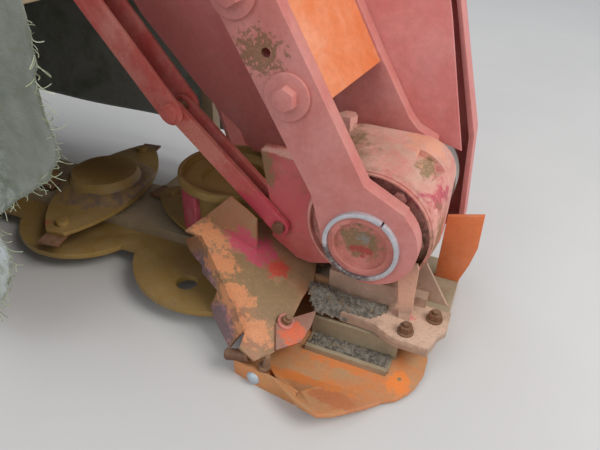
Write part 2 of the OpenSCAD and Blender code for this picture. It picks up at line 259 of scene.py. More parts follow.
def edge_group():
    """Edges and corners, where paint wears off first."""
    tree, given, out = new_group("Worn edges", [
        ("Width", "Float", 0.003), ("Broken", "Float", 0.6)], [("Mask", "Float")])
    s = Shade(tree)
    coords = s.node("ShaderNodeTexCoord").outputs["Object"]
    rounded = s.node("ShaderNodeBevel", {"Radius": given["Width"]}, samples=4)
    flat = s.node("ShaderNodeNewGeometry").outputs["Normal"]
    turn = s.minus(1, s.vector("DOT_PRODUCT", rounded.outputs[0], flat))
    rough = s.times(s.noise(coords, 70, 6, 0.65), given["Broken"])
    s.put(out["Mask"], s.step(s.minus(turn, s.times(rough, 0.22)), 0.0, 0.05))
    return tree


def weather_group():
    """Paint that is bleached, stained, chipped, dusty and grained."""
    tree, given, out = new_group("Weathered coat", [
        ("Paint", "Color", (0.5, 0.1, 0.1)), ("Bleached", "Color", (0.6, 0.3, 0.3)),
        ("Soil", "Color", (0.2, 0.15, 0.06)), ("Under", "Color", (0.15, 0.06, 0.03)),
        ("Bleach", "Float", 0.5), ("Stain", "Float", 0.3), ("Chips", "Float", 0.2),
        ("Dust", "Float", 0.3), ("Scale", "Float", 6.0), ("Edge", "Float", 0.5)],
        [("Color", "Color"), ("Roughness", "Float"), ("Height", "Float")])
    s = Shade(tree)
    coords = s.node("ShaderNodeTexCoord").outputs["Object"]
    normal = s.node("ShaderNodeSeparateXYZ", {
        0: s.node("ShaderNodeNewGeometry").outputs["Normal"]})
    large = s.noise(coords, given["Scale"], 6, 0.6, 0.3)
    middle = s.noise(coords, s.times(given["Scale"], 4.3), 8, 0.68, 0.4)
    small = s.noise(coords, s.times(given["Scale"], 22.0), 6, 0.7)
    grain = s.noise(coords, 420.0, 3, 0.7)
    fade = s.step(s.plus(large, s.times(middle, 0.5)),
                  s.minus(1.15, given["Bleach"]), s.minus(1.55, given["Bleach"]))
    coat = s.mix(fade, given["Paint"], given["Bleached"])
    tone = s.plus(0.78, s.times(small, 0.44))
    coat = s.mix(1.0, coat, tone, "MULTIPLY")
    blotch = s.plus(s.times(middle, 0.7), s.times(small, 0.35))
    stain = s.step(blotch, s.minus(0.82, s.times(given["Stain"], 0.5)),
                   s.minus(0.98, s.times(given["Stain"], 0.5)))
    coat = s.mix(stain, coat, given["Soil"])
    pits = s.plus(s.times(small, 0.75), s.times(large, 0.3))
    chips = s.step(pits, s.minus(0.84, s.times(given["Chips"], 0.4)),
                   s.minus(0.88, s.times(given["Chips"], 0.4)))
    worn = s.place(bpy.data.node_groups["Worn edges"], Width=0.003).outputs["Mask"]
    bare = s.math("MAXIMUM", chips, s.times(worn, given["Edge"]))
    coat = s.mix(bare, coat, s.mix(small, given["Under"], s.mix(0.5, given["Under"], given["Bleached"])))
    top = s.step(normal.outputs["Z"], 0.25, 0.95)
    film = s.times(s.times(top, given["Dust"]), s.step(middle, 0.3, 0.62))
    coat = s.mix(film, coat, s.mix(grain, given["Soil"], (0.40, 0.36, 0.28)))
    s.put(out["Color"], coat)
    matt = s.plus(0.46, s.times(s.math("MAXIMUM", stain, film), 0.38))
    s.put(out["Roughness"], s.plus(matt, s.times(grain, 0.14), True))
    relief = s.plus(s.times(stain, 0.6), s.times(bare, -0.5))
    relief = s.plus(relief, s.times(film, 0.7))
    s.put(out["Height"], s.plus(relief, s.times(s.plus(small, grain), 0.35)))
    return tree


def new_material(name):
    made = bpy.data.materials.new(name)
    made.use_nodes = True
    made.node_tree.nodes.clear()
    return made, Shade(made.node_tree)


def painted(name, paint, bleached, bleach, stain, chips, dust, scale, edge, bump,
            soil=None, under=None, patches=(), metallic=0.0):
    """Material of a weathered coat with ragged patches of other colours on it."""
    hues = bpy.context.scene.mower_colours
    made, s = new_material(name)
    coat = s.place(bpy.data.node_groups["Weathered coat"], Paint=paint, Bleached=bleached,
                   Soil=soil or tuple(hues.soil), Under=under or tuple(hues.rust),
                   Bleach=bleach, Stain=stain, Chips=chips, Dust=dust, Scale=scale, Edge=edge)
    tint, high = coat.outputs["Color"], coat.outputs["Height"]
    for centre, size, hue, ragged, grain in patches:
        mask = s.place(bpy.data.node_groups["Ragged patch"], Centre=centre, Size=size,
                       Ragged=ragged, Grain=grain).outputs["Mask"]
        tint = s.mix(mask, tint, s.mix(0.35, hue, tint, "MULTIPLY") if ragged > 1 else hue)
    s.surfaced(tint, coat.outputs["Roughness"], high, bump, 0.0012, Metallic=metallic)
    return made


def cloth_material():
    """Coarse woven curtain, bleached in streaks and green with age near its edges, with painted shade
    that darkens it towards the back.
    """
    hues = bpy.context.scene.mower_colours
    made, s = new_material("curtain_weave")
    coords = s.node("ShaderNodeTexCoord").outputs["Object"]
    x, y, z = s.node("ShaderNodeSeparateXYZ", {0: coords}).outputs
    threads = 1450
    warp = s.math("ABSOLUTE", s.math("SINE", s.times(x, threads)))
    weft = s.math("ABSOLUTE", s.math("SINE", s.times(s.plus(z, y), threads)))
    weave = s.times(warp, weft)
    large = s.noise(coords, 5, 7, 0.65, 0.5)
    small = s.noise(coords, 60, 6, 0.7)
    aged = s.minus(x, at(-400, 0, 0).x)
    aged = s.plus(aged, s.times(s.minus(small, 0.5), 0.16))
    high = s.step(z, 0.26, 0.48)
    mossy = s.math("MAXIMUM", s.step(aged, -0.06, 0.04), s.times(high, 0.8))
    tint = s.mix(s.step(large, 0.38, 0.62), tuple(hues.cloth), (0.60, 0.66, 0.73))
    tint = s.mix(s.step(small, 0.48, 0.75), tint, (0.19, 0.20, 0.11))
    tint = s.mix(s.times(weave, 0.35), tint, (0.60, 0.61, 0.60))
    tint = s.mix(s.times(mossy, 0.85), tint,
                 s.mix(s.step(large, 0.4, 0.6), (0.055, 0.07, 0.035), (0.12, 0.125, 0.075)))
    # painted shade: the cloth darkens to a deep green towards the back, so the rear sheet and the back
    # of the top sheet look shaded
    rear = s.step(y, at(0, 120, 0).y, at(0, 300, 0).y)
    tint = s.mix(s.times(rear, 0.8), tint,
                 s.mix(s.step(large, 0.4, 0.6), (0.10, 0.115, 0.08), (0.17, 0.175, 0.125)))
    s.surfaced(tint, 0.92, s.plus(weave, small), 0.5, 0.001, **{"Sheen Weight": 0.25})
    return made


def stone_material():
    made, s = new_material("grey_gravel")
    coords = s.node("ShaderNodeTexCoord").outputs["Object"]
    each = s.noise(coords, 130, 2, 0.5)
    fine = s.noise(coords, 900, 3, 0.7)
    tint = s.mix(s.step(each, 0.3, 0.7), (0.10, 0.088, 0.07), (0.235, 0.205, 0.165))
    tint = s.mix(s.step(s.noise(coords, 60, 3), 0.55, 0.7), tint, (0.24, 0.17, 0.10))
    s.surfaced(tint, 0.9, fine, 0.4, 0.0008)
    return made


FINISH = {}


def spot(x, y, z, wide, deep, high, hue, ragged=0.5, grain=60):
    """Patch of another colour: its centre and its reach each way, in millimetres."""
    return at(x, y, z), (wide * MM, deep * MM, high * MM), hue, ragged, grain


OLIVE, PEACH, MAGENTA = (0.22, 0.14, 0.06), (0.62, 0.28, 0.18), (0.50, 0.055, 0.11)
PURPLE, SCARLET, AMBER = (0.12, 0.085, 0.08), (0.62, 0.11, 0.035), (0.60, 0.24, 0.10)
# Patches of the finishes, named for the piece they are on
SHEET_SPOTS = [
    spot(-262, -185, 92, 52, 40, 44, (0.42, 0.17, 0.25), 0.3, 60),
    spot(-197, -240, 52, 44, 34, 42, (0.42, 0.17, 0.25), 0.3),
    spot(-262, -185, 92, 52, 40, 44, PURPLE, 1, 110), spot(-197, -240, 52, 44, 34, 42, PURPLE, 1, 110),
    spot(-181, -241, 82, 9, 9, 22, (0.55, 0.22, 0.2), 1.2, 120),
    spot(-176, -180, 108, 62, 62, 34, OLIVE, 0.7, 45), spot(-125, -190, 85, 46, 62, 34, OLIVE, 0.7, 45),
    spot(-262, -149, 154, 40, 22, 26, AMBER, 1, 90), spot(-226, -184, 130, 40, 24, 28, AMBER, 1, 90),
    spot(-180, -218, 104, 40, 24, 26, AMBER, 1, 90), spot(-130, -252, 77, 38, 26, 24, AMBER, 1, 90),
    spot(-215, -118, 139, 32, 30, 26, MAGENTA, 0.9, 70), spot(-180, -122, 123, 28, 32, 22, MAGENTA, 1),
    spot(-145, -131, 106, 20, 22, 16, (0.52, 0.05, 0.03), 0.9, 80)]
SHOE_SPOTS = [
    spot(-40, -262, 18, 84, 16, 18, (0.66, 0.20, 0.045), 0.8, 60),
    spot(26, -284, 24, 46, 22, 20, (0.44, 0.15, 0.06), 0.7, 50),
    spot(20, -205, 12, 80, 12, 6, (0.62, 0.19, 0.05), 1, 70),
    spot(100, -203, 12, 21, 27, 8, (0.78, 0.21, 0.035), 0.5, 90),
    spot(100, -195, 12.5, 4, 4.5, 5, (0.16, 0.17, 0.08), 0.4, 200)]
BASE_SPOTS = [
    # the peach patches on the foot plate top and on the web are partly pale crust and partly painted
    # light for these sunlit faces
    spot(92, -128, 71, 70, 60, 12, (0.60, 0.40, 0.29), 0.5, 60),
    spot(78, -108, 120, 26, 16, 66, (0.64, 0.34, 0.23), 0.4, 70),
    spot(88, -112, 74, 12, 9, 9, (0.62, 0.17, 0.17), 0.6, 120)]
CAST_SPOTS = [
    spot(-3, -92, 210, 108, 12, 108, (0.20, 0.065, 0.05), 0.3, 60),
    spot(-3, -97, 210, 108, 5.6, 108, (0.52, 0.17, 0.15), 0.15, 60),
    spot(72, -46, 268, 34, 44, 26, MAGENTA, 1.1, 60), spot(60, -40, 308, 20, 28, 16, OLIVE, 0.6, 90),
    spot(-60, -30, 300, 46, 70, 40, OLIVE, 0.8, 45), spot(66, -10, 340, 46, 60, 26, PEACH, 0.8, 50),
    spot(88, -60, 200, 26, 50, 60, OLIVE, 0.9, 60)]
LINK_SPOTS = [
    spot(-172, -104, 190, 74, 12, 60, (0.54, 0.055, 0.085), 0.9, 60),
    spot(-300, -104, 305, 60, 12, 52, (0.60, 0.20, 0.15), 0.8, 60)]
LUG_SPOTS = [
    spot(-186, -92, 262, 16, 30, 62, OLIVE, 0.7, 80),
    spot(-140, -92, 225, 44, 14, 62, (0.56, 0.10, 0.11), 0.9, 60),
    spot(-140, -92, 310, 60, 14, 9, (0.66, 0.34, 0.27), 0.5, 80)]
DISC_SPOTS = [
    spot(-620, 0, 98, 116, 116, 13, (0.13, 0.095, 0.085), 0.5, 50),
    spot(-620, 0, 126, 68, 68, 14, (0.22, 0.135, 0.035), 0.5, 60),
    spot(-632, -178, 91, 16, 12, 8, (0.40, 0.06, 0.05), 0.9, 120)]
CORNER_SPOTS = [spot(-74, -222, 64, 24, 25, 14, SCARLET, 0.7, 90)]
PIN_SPOTS = [
    spot(-4, -140, 216, 36, 12, 31, (0.17, 0.125, 0.055), 0.8, 70),
    spot(0, -140, 200, 20, 12, 10, (0.45, 0.05, 0.045), 1.2, 90),
    spot(4, -140, 222, 10, 12, 9, (0.30, 0.28, 0.25), 1.3, 120)]
# painted shade: a dark patch at the lower left of the bush ring stands for the shaded crescent there
BUSH_SHADE_SPOTS = [spot(-30, -150, 168, 62, 12, 34, (0.13, 0.10, 0.09), 0.4, 50)]


def build_finishes():
    hues = bpy.context.scene.mower_colours
    red, orange, rust = (tuple(c) for c in (hues.red, hues.orange, hues.rust))
    edge_group()
    patch_group()
    weather_group()
    hole = on_frame(-8, -144, 316)
    # Columns: key, material, paint, bleached paint, amounts of bleach, stain, chips and dust,
    # scale of the weathering, wear at edges, bump, and what else painted() takes
    coats = (
        # plate_red: its pale salmon under colour shows at chips and worn edges, partly real wear and
        # partly a painted highlight for the sunlit plate edges
        ("plate_red", "plate_red", red, (0.55, 0.21, 0.185), 0.62, 0.10, 0.10, 0.15, 5, 0.2, 0.3,
         {"under": (0.62, 0.30, 0.24), "patches": [(hole, (0.034, 0.01, 0.03), OLIVE, 1.3, 170)]}),
        ("link_red", "link_red", (0.50, 0.085, 0.07), (0.60, 0.22, 0.18), 0.55, 0.16, 0.16, 0.25,
         9, 0.4, 0.3, {"under": (0.58, 0.30, 0.25), "patches": LINK_SPOTS}),
        ("lug_red", "lug_red", (0.42, 0.075, 0.065), (0.50, 0.14, 0.12), 0.55, 0.22, 0.16, 0.25,
         9, 0.5, 0.35, {"under": (0.62, 0.36, 0.30), "patches": LUG_SPOTS}),
        ("vane_red", "vane_red", (0.42, 0.05, 0.08), (0.52, 0.14, 0.15), 0.5, 0.2, 0.2, 0.2,
         12, 0.5, 0.35, {"under": (0.5, 0.25, 0.22)}),
        ("sheet_red", "sheet_red", (0.30, 0.125, 0.06), (0.33, 0.20, 0.095), 0.55, 0.5, 0.24, 0.15,
         9, 0.45, 0.5, {"patches": SHEET_SPOTS}),
        ("corner", "corner_plate", (0.26, 0.105, 0.075), (0.36, 0.17, 0.12), 0.5, 0.34, 0.2, 0.3,
         12, 0.4, 0.4, {"patches": CORNER_SPOTS}),
        ("cast_red", "cast_red", (0.50, 0.15, 0.12), (0.70, 0.36, 0.30), 0.66, 0.26, 0.18, 0.45,
         8, 0.4, 0.6, {"under": (0.60, 0.32, 0.24), "patches": CAST_SPOTS}),
        ("pin_red", "pin_red", (0.42, 0.13, 0.10), (0.60, 0.22, 0.19), 0.55, 0.34, 0.2, 0.2,
         12, 0.6, 0.5, {"under": (0.62, 0.30, 0.26), "patches": PIN_SPOTS}),
        ("guard_red", "guard_red", (0.56, 0.155, 0.14), (0.62, 0.235, 0.215), 0.55, 0.12, 0.12, 0.2,
         4, 0.4, 0.25, {"under": (0.66, 0.40, 0.35)}),
        ("orange", "orange_coat", orange, (0.74, 0.30, 0.17), 0.52, 0.12, 0.12, 0.2, 5, 0.3, 0.3, {}),
        ("shoe", "shoe_orange", (0.56, 0.20, 0.065), (0.50, 0.25, 0.09), 0.5, 0.36, 0.32, 0.35,
         7, 0.45, 0.55, {"under": (0.20, 0.12, 0.12), "patches": SHOE_SPOTS}),
        ("base", "base_crust", (0.36, 0.23, 0.16), (0.52, 0.34, 0.25), 0.5, 0.30, 0.22, 0.3,
         9, 0.4, 0.7, {"patches": BASE_SPOTS}),
        ("disc", "disc_crust", (0.25, 0.15, 0.035), (0.33, 0.21, 0.06), 0.5, 0.42, 0.26, 0.2,
         8, 0.35, 0.6, {"soil": (0.11, 0.06, 0.025), "under": (0.10, 0.045, 0.025),
                        "patches": DISC_SPOTS}),
        ("iron", "dusty_iron", (0.27, 0.20, 0.12), (0.38, 0.30, 0.20), 0.5, 0.3, 0.25, 0.6,
         9, 0.4, 0.6, {}),
        ("steel", "bare_steel", tuple(hues.bare), (0.55, 0.53, 0.5), 0.5, 0.2, 0.12, 0.1,
         12, 0.1, 0.2, {"metallic": 0.75}),
        ("rusty", "rusty_iron", rust, (0.24, 0.11, 0.05), 0.5, 0.4, 0.3, 0.3, 14, 0.2, 0.8, {}),
        ("bush", "bush_metal", (0.50, 0.52, 0.56), (0.66, 0.68, 0.72), 0.55, 0.06, 0.05, 0.05,
         16, 0.05, 0.15, {"metallic": 0.7, "patches": BUSH_SHADE_SPOTS}),
        ("galvanised", "galvanised_head", (0.44, 0.50, 0.55), (0.58, 0.63, 0.67), 0.5, 0.1, 0.05, 0.1,
         30, 0.0, 0.1, {"metallic": 0.5}),
        ("thread", "frayed_thread", (0.20, 0.24, 0.13), (0.42, 0.45, 0.32), 0.6, 0.1, 0.0, 0.0,
         30, 0.0, 0.1, {}))
    for key, name, *coat, others in coats:
        FINISH[key] = painted(name, *coat, **others)
    FINISH["cloth"] = cloth_material()
    FINISH["stone"] = stone_material()


# Mesh helpers


def to_piece(name, bm, node, finish, stands_for=(), sharp=35):
    """Mesh of the bmesh as an object that rides with a CAD node's body."""
    bmesh.ops.recalc_face_normals(bm, faces=bm.faces)
    mesh = bpy.data.meshes.new(name)
    bm.to_mesh(mesh)
    bm.free()
    return from_mesh(name, mesh, node, finish, stands_for, sharp)


def from_mesh(name, mesh, node, finish, stands_for=(), sharp=35):
    mesh.polygons.foreach_set("use_smooth", [True] * len(mesh.polygons))
    mesh.set_sharp_from_angle(angle=math.radians(sharp))
    if finish and not mesh.materials:
        mesh.materials.append(FINISH[finish])
    piece = bpy.data.objects.new(name, mesh)
    bpy.context.scene.collection.objects.link(piece)
    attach(piece, body_of(node))
    if stands_for:
        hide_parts(*stands_for)
    return piece


def solid_copy(node):
    """Merged copy of a CAD node's mesh with its flat faces joined."""
    bm = bmesh.new()
    bm.from_mesh(NODES[node].data)
    bmesh.ops.remove_doubles(bm, verts=bm.verts, dist=1e-5)
    bmesh.ops.dissolve_limit(bm, angle_limit=math.radians(0.5), verts=bm.verts, edges=bm.edges,
                             use_dissolve_boundaries=False)
    return bm


def soften(node, finish, width=None, segments=2):
    """Copy of a CAD node with its cut edges rounded, which stands for the node."""
    width = width or bpy.context.scene.mower_sizes.edge_round
    bm = solid_copy(node)
    sharp = [e for e in bm.edges if len(e.link_faces) == 2 and e.calc_face_angle() > 0.6]
    bmesh.ops.bevel(bm, geom=sharp, offset=width, offset_type="OFFSET", segments=segments,
                    profile=0.6, affect="EDGES", clamp_overlap=True)
    return to_piece(node + "_worn", bm, node, finish, (node,))


def circle(bm, centre, turn, radius, along, steps):
    """Points of a circle round an axis."""
    angles = [math.tau * i / steps for i in range(steps)]
    return [bm.verts.new(centre + turn @ Vector((radius * math.cos(a), radius * math.sin(a), along)))
            for a in angles]


def lathe(bm, profile, centre, axis, steps):
    """Turns a profile of (radius, along) round an axis through a centre."""
    turn = Vector(axis).to_track_quat("Z", "Y").to_matrix()
    rings = [circle(bm, centre, turn, radius, along, steps if radius > 1e-6 else 1)
             for radius, along in profile]
    for low, high in zip(rings, rings[1:]):
        for i in range(steps):
            j = (i + 1) % steps
            a = low if len(low) == 1 else [low[i], low[j]]
            b = high if len(high) == 1 else [high[j], high[i]]
            if len(a) + len(b) > 2:
                bm.faces.new(a + b)


def hexagon(bm, centre, axis, width, height):
    """Hexagon head with its corners turned off, seated on centre."""
    r = width / math.sqrt(3)
    turn = Vector(axis).to_track_quat("Z", "Y").to_matrix()
    rings = [circle(bm, centre, turn, radius, along, 6)
             for radius, along in ((r, 0), (r, height * 0.82), (r * 0.88, height))]
    for low, high in zip(rings, rings[1:]):
        for i in range(6):
            j = (i + 1) % 6
            bm.faces.new([low[i], low[j], high[j], high[i]])
    bm.faces.new(rings[-1])
    bm.faces.new(rings[0][::-1])


# Geometry nodes


def geometry_tree(name, inputs):
    tree = bpy.data.node_groups.new(name, "GeometryNodeTree")
    tree.interface.new_socket("Geometry", in_out="INPUT", socket_type="NodeSocketGeometry")
    for label, kind, value in inputs:
        socket = tree.interface.new_socket(label, in_out="INPUT", socket_type="NodeSocket" + kind)
        if value is not None:
            socket.default_value = value
    tree.interface.new_socket("Geometry", in_out="OUTPUT", socket_type="NodeSocketGeometry")
    return tree, tree.nodes.new("NodeGroupInput").outputs, tree.nodes.new("NodeGroupOutput").inputs


def fastener_tree():
    """A washer and a hexagon head on each point, facing along the point's own direction."""
    tree, given, out = geometry_tree("Fasteners", [
        ("Width", "Float", 0.024), ("Height", "Float", 0.014), ("Washer", "Float", 0.018),
        ("Material", "Material", None)])
    s = Shade(tree)
    width, height = given["Width"], given["Height"]
    washer_depth, tip_depth = 0.006, 0.006
    flats_per_radius = 1.732

    def cylinder(sides, radius, depth):
        return s.node("GeometryNodeMeshCylinder", {
            "Vertices": sides, "Radius": radius, "Depth": depth}).outputs[0]

    def risen(piece, rise):
        shift = s.node("ShaderNodeCombineXYZ", {2: rise}).outputs[0]
        return s.node("GeometryNodeTransform", {"Geometry": piece, "Translation": shift}).outputs[0]

    head = risen(cylinder(6, s.math("DIVIDE", width, flats_per_radius), height),
                 s.plus(s.math("DIVIDE", height, 2), washer_depth / 2))
    tip = risen(cylinder(16, s.times(width, 0.31), tip_depth), s.plus(height, 0.005))
    join = s.node("GeometryNodeJoinGeometry")
    for part in (cylinder(24, given["Washer"], washer_depth), head, tip):
        tree.links.new(part, join.inputs[0])
    place = s.node("GeometryNodeInstanceOnPoints", {
        "Points": given["Geometry"], "Instance": join.outputs[0], "Rotation": s.facing()})
    s.put(out["Geometry"], s.coated(s.realized(place), given["Material"]))
    return tree


def stone_tree():
    """Small broken stones scattered over a surface."""
    tree, given, out = geometry_tree("Scattered stones", [
        ("Density", "Float", 20000.0), ("Size", "Float", 0.006), ("Seed", "Int", 7),
        ("Material", "Material", None)])
    s = Shade(tree)
    seed = given["Seed"]
    spread = s.node("GeometryNodeDistributePointsOnFaces", {
        "Mesh": given["Geometry"], "Density": given["Density"], "Seed": seed},
        distribute_method="RANDOM")
    stone = s.node("GeometryNodeMeshIcoSphere", {"Radius": 0.5, "Subdivisions": 1})
    size = s.node("FunctionNodeRandomValue", {
        "Min": (0.35, 0.35, 0.3), "Max": (1.5, 1.2, 0.9), "Seed": seed}, data_type="FLOAT_VECTOR")
    turn = s.node("FunctionNodeRandomValue", {"Max": (math.tau,) * 3, "Seed": seed},
                  data_type="FLOAT_VECTOR")
    place = s.node("GeometryNodeInstanceOnPoints", {
        "Points": spread.outputs["Points"], "Instance": stone.outputs[0],
        "Rotation": turn.outputs[0],
        "Scale": s.vector("SCALE", size.outputs[0], scale=given["Size"])})
    join = s.node("GeometryNodeJoinGeometry")
    for part in (s.realized(place), given["Geometry"]):
        tree.links.new(part, join.inputs[0])
    s.put(out["Geometry"], s.coated(join.outputs[0], given["Material"]))
    return tree


def thread_tree():
    """A short bent thread on each point, facing along the point's own direction."""
    tree, given, out = geometry_tree("Frayed threads", [
        ("Length", "Float", 0.022), ("Seed", "Int", 7), ("Material", "Material", None)])
    s = Shade(tree)
    seed = given["Seed"]
    curve = s.node("GeometryNodeCurveQuadraticBezier", {
        "Resolution": 5, "Start": (0, 0, -0.1), "Middle": (0.12, 0.1, 0.55),
        "End": (-0.25, 0.35, 0.9)})
    ring = s.node("GeometryNodeCurvePrimitiveCircle", {"Resolution": 3, "Radius": 0.026})
    tube = s.node("GeometryNodeCurveToMesh", {
        "Curve": curve.outputs[0], "Profile Curve": ring.outputs[0]})
    swing = s.node("FunctionNodeRandomValue", {
        "Min": (-0.5, -0.5, 0), "Max": (0.5, 0.5, math.tau), "Seed": seed},
        data_type="FLOAT_VECTOR")
    euler = s.node("FunctionNodeEulerToRotation", {0: swing.outputs[0]})
    turned = s.node("FunctionNodeRotateRotation", {0: s.facing(), 1: euler.outputs[0]},
                    rotation_space="LOCAL")
    size = s.node("FunctionNodeRandomValue", {2: 0.25, 3: 1.2, "Seed": seed}, data_type="FLOAT")
    place = s.node("GeometryNodeInstanceOnPoints", {
        "Points": given["Geometry"], "Instance": tube.outputs[0], "Rotation": turned.outputs[0],
        "Scale": s.times(size.outputs[1], given["Length"])})
    s.put(out["Geometry"], s.coated(s.realized(place), given["Material"]))
    return tree


def grown(name, mesh, tree, values, node, finish, sharp=35):
    """Runs a geometry tree on a mesh and keeps the plain result as a piece."""
    seed = bpy.data.objects.new(name + "_seed", mesh)
    bpy.context.scene.collection.objects.link(seed)
    modifier = seed.modifiers.new("Grow", "NODES")
    modifier.node_group = tree
    for item in tree.interface.items_tree:
        if item.in_out == "INPUT" and item.name in values:
            modifier[item.identifier] = values[item.name]
    modifier[next(i.identifier for i in tree.interface.items_tree
                  if i.name == "Material")] = FINISH[finish]
    bpy.context.view_layer.update()
    view = bpy.context.evaluated_depsgraph_get()
    made = bpy.data.meshes.new_from_object(seed.evaluated_get(view), depsgraph=view)
    bpy.data.objects.remove(seed)
    made.name = name
    return from_mesh(name, made, node, finish, (), sharp)


def bolts(name, places, node, width=0.024, height=0.014, washer=0.018, finish="rusty",
          tree="Fasteners", values=None):
    """Fasteners, or another tree's pieces, at (point, direction) pairs, grown as one piece."""
    mesh = bpy.data.meshes.new(name + "_points")
    mesh.from_pydata([p for p, _ in places], [], [])
    facing = mesh.attributes.new("facing", "FLOAT_VECTOR", "POINT")
    facing.data.foreach_set("vector", [c for _, d in places for c in Vector(d).normalized()])
    return grown(name, mesh, bpy.data.node_groups[tree],
                 values or {"Width": width, "Height": height, "Washer": washer}, node, finish)


def turned_piece(name, profile, centre, axis, steps, node, finish):
    """Small turned piece, its profile of (radius, along) given in millimetres."""
    bm = bmesh.new()
    lathe(bm, [(radius * MM, along * MM) for radius, along in profile], centre, axis, steps)
    to_piece(name, bm, node, finish)


def mound(name, outline, base, height, node, sizes, offset, steps=26):
    """Heap of small stones inside an outline of points (x, y) in millimetres."""
    seed = sizes.seed + offset
    shoulder, lump = 22, 17
    xs, ys = [p[0] for p in outline], [p[1] for p in outline]
    bm = bmesh.new()
    grid = {}
    for i in range(steps + 1):
        for j in range(steps + 1):
            x = min(xs) + (max(xs) - min(xs)) * i / steps
            y = min(ys) + (max(ys) - min(ys)) * j / steps
            inside = edge_distance(outline, x, y)
            if inside <= 0:
                continue
            rise = height * min(1, inside / shoulder) ** 0.7
            rise *= 0.7 + 0.6 * noise.noise(Vector((x / lump, y / lump, seed)))
            low = base(x, y) if callable(base) else base
            grid[i, j] = bm.verts.new(at(x, y, low + rise))
    for i, j in grid:
        ring = [(i, j), (i + 1, j), (i + 1, j + 1), (i, j + 1)]
        if all(k in grid for k in ring):
            bm.faces.new([grid[k] for k in ring])
    mesh = bpy.data.meshes.new(name + "_bed")
    bm.to_mesh(mesh)
    bm.free()
    return grown(name, mesh, bpy.data.node_groups["Scattered stones"],
                 {"Density": STONES_PER_M2, "Size": sizes.stone, "Seed": seed}, node, "stone", 60)


# outlines (x, y) of the gravel, in millimetres
TROUGH = [(-63, -191), (81, -191), (81, -156), (-63, -156)]
TROUGH_FLOOR = 15
FOOT_HEAP = [(-94, -112), (-62, -101), (56, -101), (48, -128), (30, -149), (-14, -153),
             (-64, -159), (-84, -142)]
STONES_PER_M2 = 95000.0

# curtain in millimetres: its top, its lower edges, where the top and rear sheets end, and the
# step in the rear sheet that clears the swath board
CLOTH_TOP, FRONT_LOW, REAR_LOW, END_LOW, HALF_CLOTH = 602, 60, 110, 240, 2
TOP_END, REAR_END, STEP_START, STEP_WIDTH = -632, -502, 150, 14
# points (x, z) down the torn free edge of the front sheet
CURTAIN_EDGE = [(-288, 604), (-277, 425), (-300, 385), (-360, 345), (-418, 300), (-402, 240),
                (-450, 160), (-518, 60)]


def cloth_grid(name, point, across, down):
    """Sheet of cloth whose points in millimetres come from point(u, v)."""
    bm = bmesh.new()
    rows = [[bm.verts.new(at(*point(i / across, j / down))) for i in range(across + 1)]
            for j in range(down + 1)]
    for upper, lower in zip(rows, rows[1:]):
        for i in range(across):
            bm.faces.new([upper[i], lower[i], lower[i + 1], upper[i + 1]])
    piece = to_piece(name, bm, "curtain", "cloth", ("curtain",), 180)
    thick = piece.modifiers.new("Thickness", "SOLIDIFY")
    thick.thickness = 0.0022
    thick.offset = 0
    return piece


def heap_base(x, y):
    """Height of what the heap beside the foot lies on."""
    return 69 + max(0, -x - 20) * 0.2 - max(0, -y - 138) * 0.9


def screw(bm, start, end, radius, pitch):
    """Threaded rod between two points, all in millimetres."""
    a, b = at(*start), at(*end)
    count = int((b - a).length / MM / pitch)
    profile = [(0, 0)]
    for i in range(count):
        profile += [(radius * MM, (i + 0.1) * pitch * MM),
                    (radius * 0.86 * MM, (i + 0.55) * pitch * MM)]
    profile += [(radius * 0.8 * MM, count * pitch * MM), (0, count * pitch * MM)]
    lathe(bm, profile[::-1], a, (b - a).normalized(), 20)


def edge_distance(outline, x, y):
    """Distance to the outline, positive inside it."""
    inside, nearest = False, 1e9
    for (x0, y0), (x1, y1) in zip(outline, outline[1:] + outline[:1]):
        if (y0 > y) != (y1 > y) and x < (x1 - x0) * (y - y0) / (y1 - y0) + x0:
            inside = not inside
        t = ((x - x0) * (x1 - x0) + (y - y0) * (y1 - y0)) / ((x1 - x0) ** 2 + (y1 - y0) ** 2)
        t = min(1, max(0, t))
        nearest = min(nearest, math.hypot(x - x0 - t * (x1 - x0), y - y0 - t * (y1 - y0)))
    return nearest if inside else -nearest


# Operators


class Dressing:
    """Work shared by the operators: rows of CAD nodes that are worn, or only take a finish."""
    worn, plain = (), ()

    def execute(self, context):
        for node, finish in self.plain:
            materials = NODES[node].data.materials
            materials.clear()
            materials.append(FINISH[finish])
        for row in self.worn:
            soften(*row)
        self.add(context.scene.mower_sizes)
        return {"FINISHED"}

    def add(self, sizes):
        """Pieces that have no CAD node of their own."""


